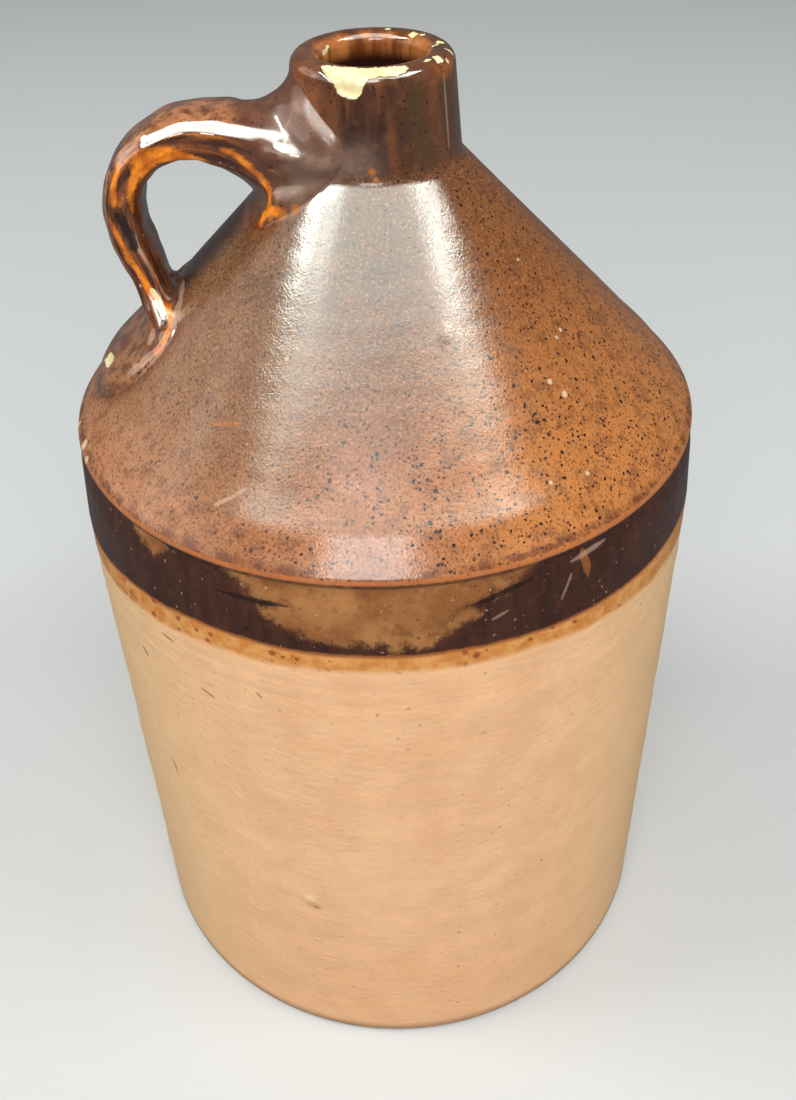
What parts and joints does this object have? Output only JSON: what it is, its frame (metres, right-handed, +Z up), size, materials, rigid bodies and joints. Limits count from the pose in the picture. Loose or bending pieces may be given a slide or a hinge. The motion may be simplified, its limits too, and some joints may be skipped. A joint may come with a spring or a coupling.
{
  "type": "stoneware jug",
  "caption": "Stoneware jug with a straight body, conical shoulder, narrow corked neck and one strap handle.",
  "frame": {"origin": "centre of the flat foot", "axes": "+Z up along the axis of the jug, out of its mouth; the handle stands toward -X"},
  "size_m": [0.1732, 0.1732, 0.2855],
  "materials": {
    "stoneware": "brown glaze over the shoulder, neck and handle, pale matt-satin glaze below"
  },
  "bodies": {
    "root": {"jug": "stoneware"}
  },
  "joints": []
}
